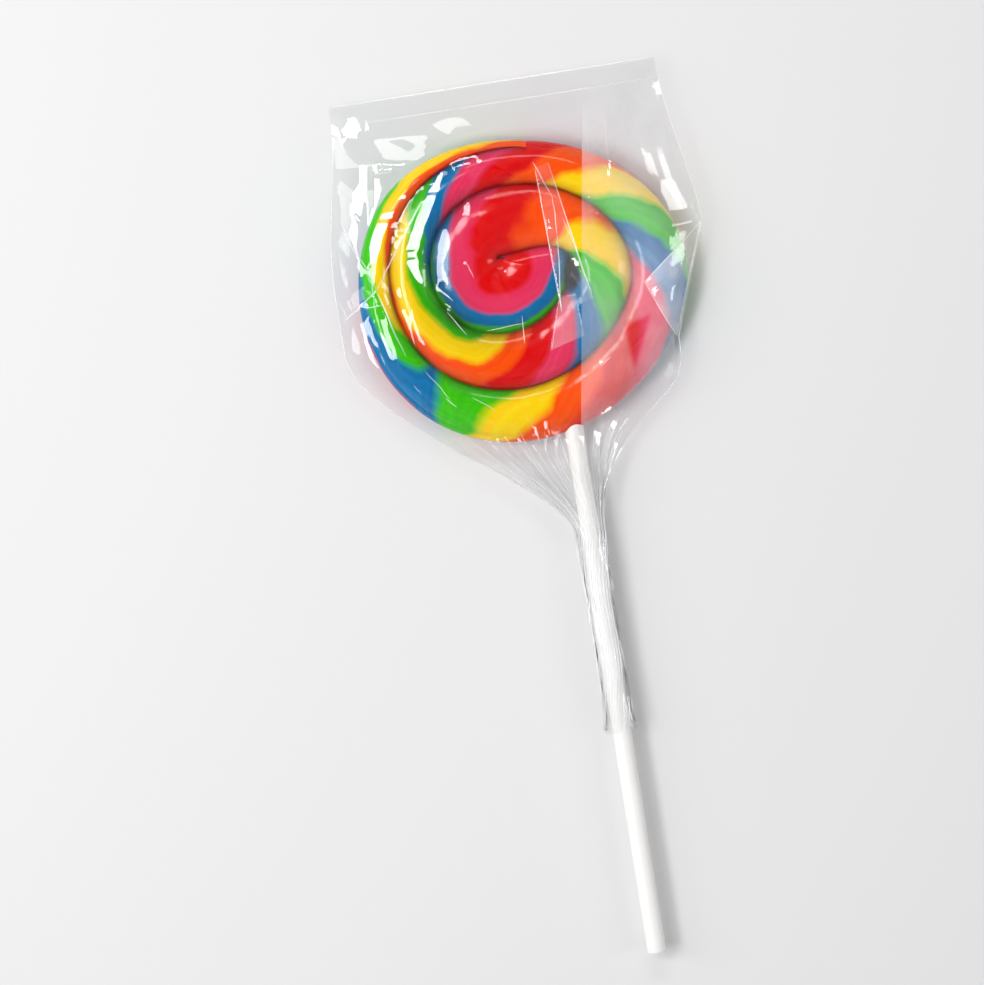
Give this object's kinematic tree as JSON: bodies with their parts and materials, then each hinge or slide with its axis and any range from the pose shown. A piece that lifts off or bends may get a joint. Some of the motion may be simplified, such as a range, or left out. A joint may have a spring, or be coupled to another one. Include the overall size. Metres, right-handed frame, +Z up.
{
  "type": "swirl lollipop",
  "caption": "Flat coiled candy head of rainbow-striped twisted rope on a white stick, in a clear film bag gathered round the stick.",
  "frame": {"origin": "on the resting surface, under the middle of the bounding box", "axes": "+Y along the stick towards the head, +Z up from the resting surface through the side that shows, +X to the right of the head seen from above"},
  "size_m": [0.0652, 0.1558, 0.0087],
  "materials": {
    "striped_candy": "glossy hard candy in twisted stripes of red, orange, yellow, green, blue and pink",
    "white_stick": "smooth white stick with a slight sheen",
    "clear_film": "thin clear crinkled film with sharp glossy creases"
  },
  "bodies": {
    "root": {"candy": "striped_candy", "stick": "white_stick", "wrapper": "clear_film"}
  },
  "joints": []
}
